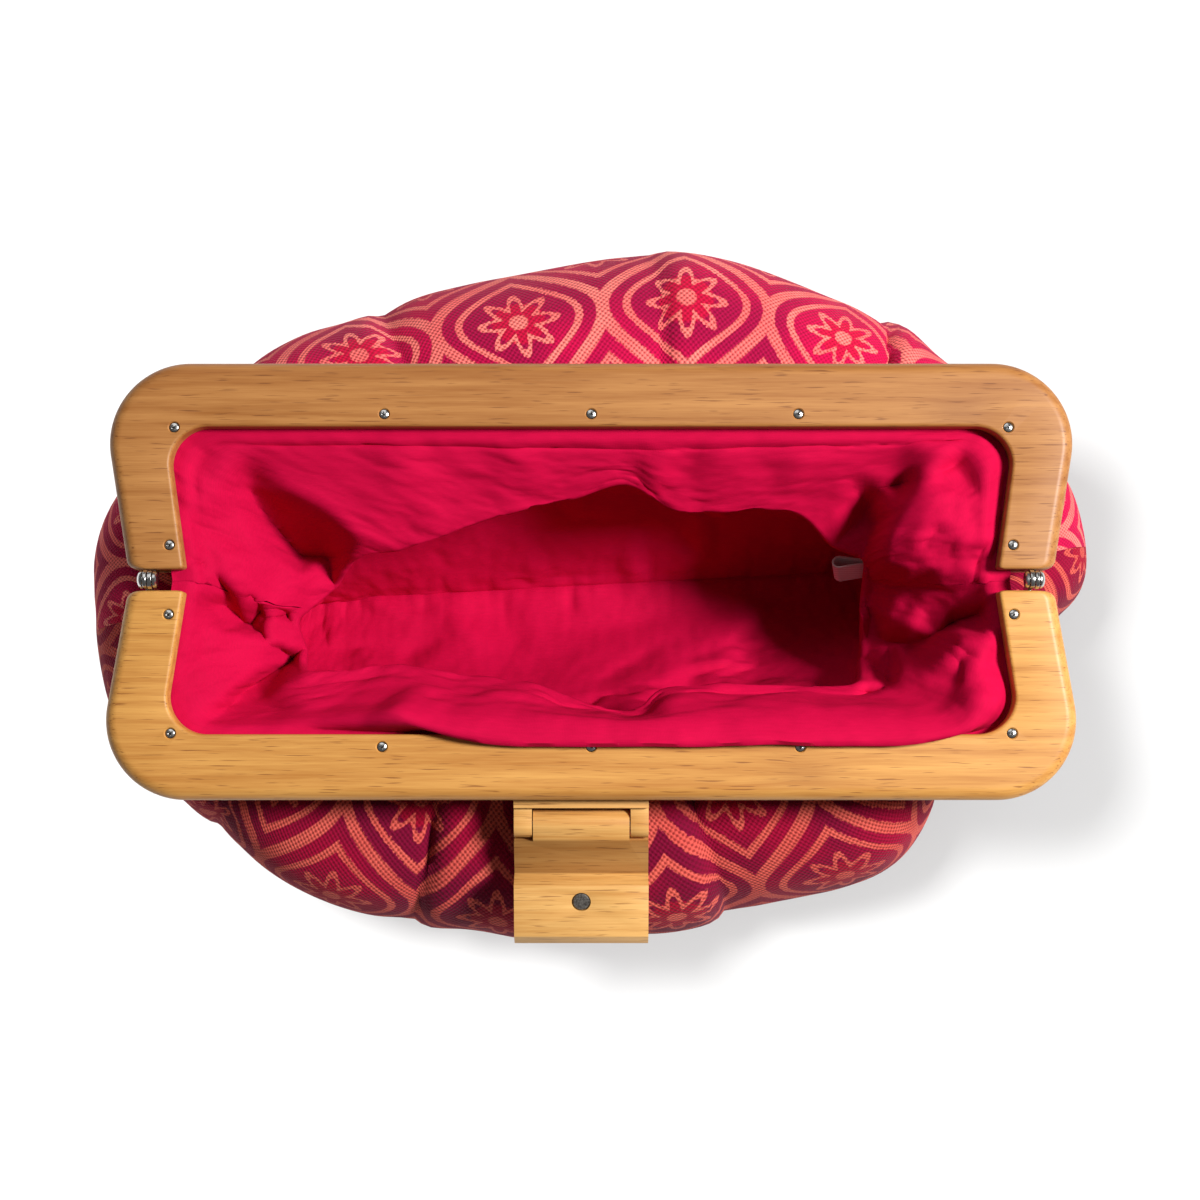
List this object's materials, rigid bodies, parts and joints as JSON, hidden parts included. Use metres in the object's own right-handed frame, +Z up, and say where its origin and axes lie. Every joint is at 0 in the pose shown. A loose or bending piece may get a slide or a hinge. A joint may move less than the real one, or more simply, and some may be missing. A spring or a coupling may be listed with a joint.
{
  "type": "clutch bag",
  "caption": "Soft cloth clutch bag lying open, its gathered pouch clamped in a hinged wooden frame with a magnetic flip clasp.",
  "frame": {"origin": "on the table, under the middle of the bag's box", "axes": "+X along the hinge line to the right, +Y to the back, away from the clasp, +Z up"},
  "size_m": [0.2983, 0.2088, 0.1027],
  "materials": {
    "wood": "satin varnish over fine straight grain",
    "canvas": "coarse printed canvas, coral lines on magenta",
    "lining": "smooth crimson cotton",
    "steel": "bright nickel plate",
    "magnet": "dark dull metal",
    "tape": "white woven tape, blank"
  },
  "bodies": {
    "bag": {"frame_back": "wood", "frame_front": "wood", "screw_back_1": "steel", "screw_back_2": "steel", "screw_back_3": "steel", "screw_back_4": "steel", "screw_back_5": "steel", "screw_back_6": "steel", "screw_back_7": "steel", "screw_front_1": "steel", "screw_front_2": "steel", "screw_front_3": "steel", "screw_front_4": "steel", "screw_front_5": "steel", "screw_front_6": "steel", "screw_front_7": "steel", "hinge_leaf_left_back": "steel", "hinge_leaf_left_front": "steel", "hinge_leaf_right_back": "steel", "hinge_leaf_right_front": "steel", "hinge_rivet_left": "steel", "hinge_rivet_right": "steel", "clasp_base": "wood", "clasp_pin": "steel", "keeper_disc": "steel", "outer_front": "canvas", "outer_back": "canvas", "lining_front": "lining", "lining_back": "lining", "label_loop": "tape"},
    "clasp": {"clasp_lever": "wood", "lever_magnet": "magnet"}
  },
  "joints": [
    {"name": "clasp_flip", "type": "hinge", "parent": "bag", "child": "clasp", "pos_m": [-0.0028, -0.0681, 0.0857], "axis": [-1, 0, 0], "range_deg": [0, 104]}
  ]
}
